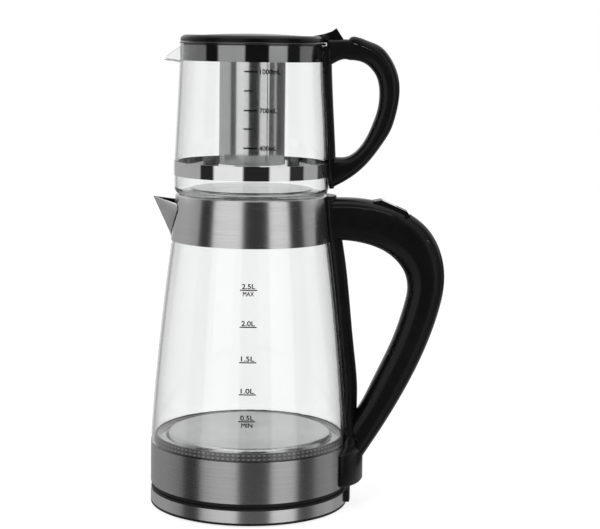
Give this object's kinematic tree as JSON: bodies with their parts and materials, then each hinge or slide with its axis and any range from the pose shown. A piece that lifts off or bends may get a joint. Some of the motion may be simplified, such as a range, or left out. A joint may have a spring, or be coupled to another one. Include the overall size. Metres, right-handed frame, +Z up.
{
  "type": "automatic tea maker",
  "caption": "Electric tea maker: glass kettle with a steel collar and skirt on a round power base, and a glass teapot with infuser and hinged lid on top.",
  "frame": {"origin": "on the kettle's axis, on the surface that the feet stand on", "axes": "+Z up, +X towards the handles, -X towards the spouts"},
  "size_m": [0.2506, 0.17, 0.408],
  "materials": {
    "black_plastic": "satin moulded black plastic",
    "base_plastic": "matt moulded black plastic",
    "brushed_steel": "brushed round the axis",
    "polished_steel": "mirror polished",
    "plate_steel": "fine circular satin",
    "clear_glass": "clear, with printed marks",
    "silicone": "translucent silicone",
    "black_silicone": "matt black silicone",
    "foot_rubber": "matt rubber",
    "aluminium": "as cast",
    "brass": "plain",
    "screw_steel": "zinc plated"
  },
  "bodies": {
    "power_base": {"base_housing": "base_plastic", "base_trim_ring": "brushed_steel", "base_floor": "base_plastic", "base_feet": "foot_rubber", "base_socket": "base_plastic", "base_contacts": "brass", "cord_outlet": "base_plastic", "base_screws": "screw_steel"},
    "coupler": {"kettle_coupler": "base_plastic"},
    "kettle": {"kettle_underside": "base_plastic", "kettle_skirt": "brushed_steel", "heating_plate": "plate_steel", "heat_spreader": "aluminium", "heating_element": "screw_steel", "thermostat_control": "base_plastic", "plate_gasket": "silicone", "underside_screws": "screw_steel", "kettle_glass": "clear_glass", "kettle_collar": "brushed_steel", "neck_seal": "silicone", "kettle_spout": "brushed_steel", "handle_strap": "black_plastic", "handle_grip": "black_plastic", "handle_back_cover": "black_plastic", "switch_pin": "screw_steel"},
    "switch": {"switch_paddle": "black_plastic", "switch_paddle_trim": "polished_steel"},
    "teapot": {"teapot_glass": "clear_glass", "teapot_band": "polished_steel", "teapot_bracket": "black_plastic", "teapot_handle_grip": "black_plastic", "teapot_handle_cover": "black_plastic", "lid_hinge_pin": "screw_steel", "infuser_collar": "polished_steel", "infuser_tube": "brushed_steel", "infuser_base": "brushed_steel"},
    "lid": {"lid_cover": "black_plastic", "lid_rim_plate": "black_plastic", "lid_seal": "black_silicone"}
  },
  "joints": [
    {"name": "kettle_lift", "type": "slide", "parent": "power_base", "child": "coupler", "axis": [0, 0, 1], "range_m": [0, 0.06]},
    {"name": "kettle_swivel", "type": "hinge", "parent": "coupler", "child": "kettle", "pos_m": [0, 0, 0.0195], "axis": [0, 0, 1], "continuous": true},
    {"name": "switch_press", "type": "hinge", "parent": "kettle", "child": "switch", "pos_m": [0.13199, 0, 0.25077], "axis": [0, -1, 0], "range_deg": [0, 4.5], "stiffness_Nm_per_rad": 0.5, "springref_deg": -4.58},
    {"name": "teapot_lift", "type": "slide", "parent": "kettle", "child": "teapot", "axis": [0, 0, 1], "range_m": [0, 0.08]},
    {"name": "lid_open", "type": "hinge", "parent": "teapot", "child": "lid", "pos_m": [0.075, 0, 0.39305], "axis": [0, 1, 0], "range_deg": [0, 70]}
  ]
}
